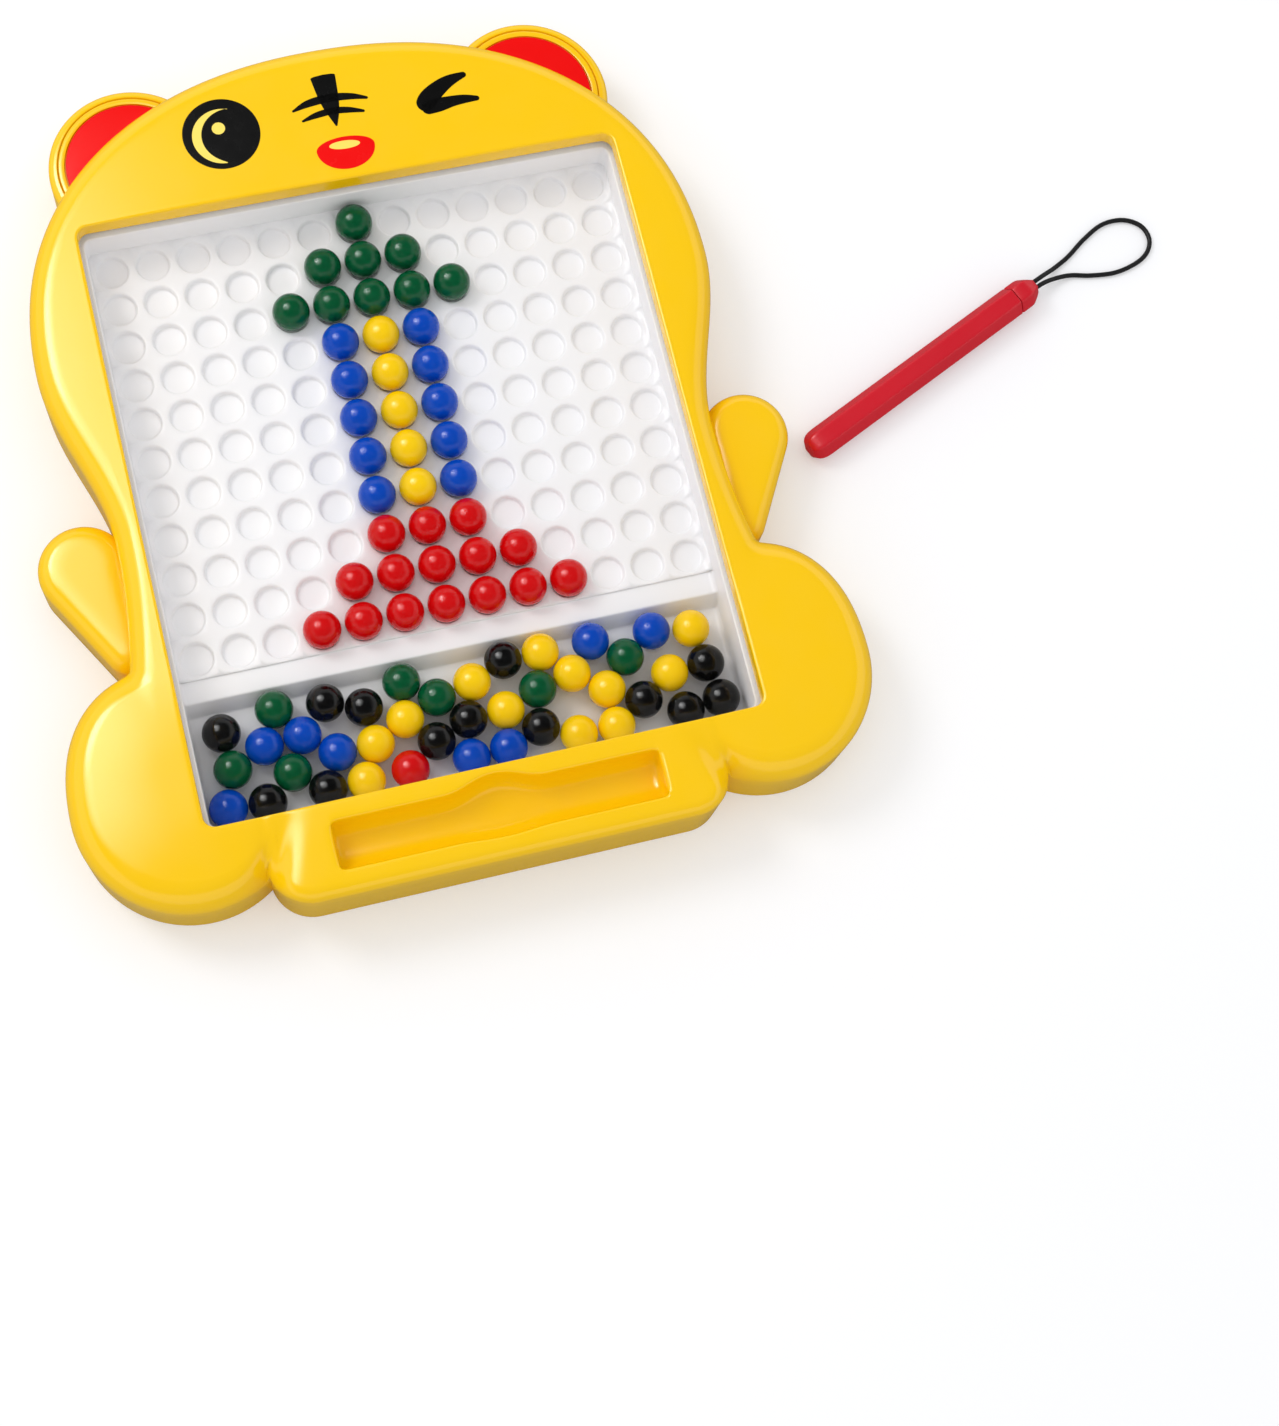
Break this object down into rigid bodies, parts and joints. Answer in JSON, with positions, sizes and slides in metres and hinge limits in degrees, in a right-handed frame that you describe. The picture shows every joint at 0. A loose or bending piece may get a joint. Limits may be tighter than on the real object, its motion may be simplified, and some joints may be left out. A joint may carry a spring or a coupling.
{
  "type": "magnetic drawing board",
  "caption": "Bear-shaped magnetic drawing board: coloured steel-cored beads under a clear window are lifted by a magnetic pen and set in a grid of dimples.",
  "frame": {"origin": "middle of the flat back, below the middle of the window's width", "axes": "+X to the right and +Y from the feet to the head as seen from the drawing face; +Z out of the drawing face, with the board lying on its back"},
  "size_m": [0.3724, 0.2605, 0.0291],
  "materials": {
    "frame_yellow": "satin warm yellow, softly crowned",
    "back_yellow": "fine matt texture",
    "tray_white": "smooth cool white",
    "clear": "clear sheet",
    "inlay_red": "satin red",
    "steel": "zinc plated",
    "bead_green": "glossy dark green",
    "bead_blue": "glossy blue",
    "bead_yellow": "glossy yellow",
    "bead_red": "glossy red",
    "bead_black": "glossy black",
    "pen_red": "satin crimson",
    "magnet": "nickel plated",
    "cord_black": "round braided cord"
  },
  "bodies": {
    "root": {"back_cover": "back_yellow", "back_screw_1": "steel", "back_screw_2": "steel", "back_screw_3": "steel", "back_screw_4": "steel", "back_screw_5": "steel", "back_screw_6": "steel", "clear_cover": "clear", "dot_tray": "tray_white", "ear_inlay_left": "inlay_red", "ear_inlay_right": "inlay_red", "front_shell": "frame_yellow"},
    "picture_green": {"picture_bead_green_1": "bead_green", "picture_bead_green_2": "bead_green", "picture_bead_green_3": "bead_green", "picture_bead_green_4": "bead_green", "picture_bead_green_5": "bead_green", "picture_bead_green_6": "bead_green", "picture_bead_green_7": "bead_green", "picture_bead_green_8": "bead_green", "picture_bead_green_9": "bead_green"},
    "picture_blue_left": {"picture_bead_blue_left_1": "bead_blue", "picture_bead_blue_left_2": "bead_blue", "picture_bead_blue_left_3": "bead_blue", "picture_bead_blue_left_4": "bead_blue", "picture_bead_blue_left_5": "bead_blue"},
    "picture_blue_right": {"picture_bead_blue_right_1": "bead_blue", "picture_bead_blue_right_2": "bead_blue", "picture_bead_blue_right_3": "bead_blue", "picture_bead_blue_right_4": "bead_blue", "picture_bead_blue_right_5": "bead_blue"},
    "picture_yellow": {"picture_bead_yellow_1": "bead_yellow", "picture_bead_yellow_2": "bead_yellow", "picture_bead_yellow_3": "bead_yellow", "picture_bead_yellow_4": "bead_yellow", "picture_bead_yellow_5": "bead_yellow"},
    "picture_red": {"picture_bead_red_1": "bead_red", "picture_bead_red_2": "bead_red", "picture_bead_red_3": "bead_red", "picture_bead_red_4": "bead_red", "picture_bead_red_5": "bead_red", "picture_bead_red_6": "bead_red", "picture_bead_red_7": "bead_red", "picture_bead_red_8": "bead_red", "picture_bead_red_9": "bead_red", "picture_bead_red_10": "bead_red", "picture_bead_red_11": "bead_red", "picture_bead_red_12": "bead_red", "picture_bead_red_13": "bead_red", "picture_bead_red_14": "bead_red", "picture_bead_red_15": "bead_red"},
    "loose_black": {"loose_bead_black": "bead_black"},
    "loose_green": {"loose_bead_green": "bead_green"},
    "loose_blue": {"loose_bead_blue": "bead_blue"},
    "loose_yellow": {"loose_bead_yellow": "bead_yellow"},
    "loose_red": {"loose_bead_red": "bead_red"},
    "pen": {"pen_barrel": "pen_red", "pen_magnet": "magnet", "pen_end_cap": "pen_red", "pen_loop": "cord_black"}
  },
  "joints": [
    {"name": "picture_green_lift", "type": "slide", "parent": "root", "child": "picture_green", "axis": [0, 0, 1], "range_m": [0, 0.0021]},
    {"name": "picture_blue_left_lift", "type": "slide", "parent": "root", "child": "picture_blue_left", "axis": [0, 0, 1], "range_m": [0, 0.0021]},
    {"name": "picture_blue_right_lift", "type": "slide", "parent": "root", "child": "picture_blue_right", "axis": [0, 0, 1], "range_m": [0, 0.0021]},
    {"name": "picture_yellow_lift", "type": "slide", "parent": "root", "child": "picture_yellow", "axis": [0, 0, 1], "range_m": [0, 0.0021]},
    {"name": "picture_red_lift", "type": "slide", "parent": "root", "child": "picture_red", "axis": [0, 0, 1], "range_m": [0, 0.0021]},
    {"name": "loose_black_lift", "type": "slide", "parent": "root", "child": "loose_black", "axis": [0, 0, 1], "range_m": [0, 0.0059]},
    {"name": "loose_green_lift", "type": "slide", "parent": "root", "child": "loose_green", "axis": [0, 0, 1], "range_m": [0, 0.0059]},
    {"name": "loose_blue_lift", "type": "slide", "parent": "root", "child": "loose_blue", "axis": [0, 0, 1], "range_m": [0, 0.0059]},
    {"name": "loose_yellow_lift", "type": "slide", "parent": "root", "child": "loose_yellow", "axis": [0, 0, 1], "range_m": [0, 0.0059]},
    {"name": "loose_red_lift", "type": "slide", "parent": "root", "child": "loose_red", "axis": [0, 0, 1], "range_m": [0, 0.0059]},
    {"name": "pen_lift", "type": "slide", "parent": "root", "child": "pen", "axis": [0, 0, 1], "range_m": [0, 0.06]}
  ]
}
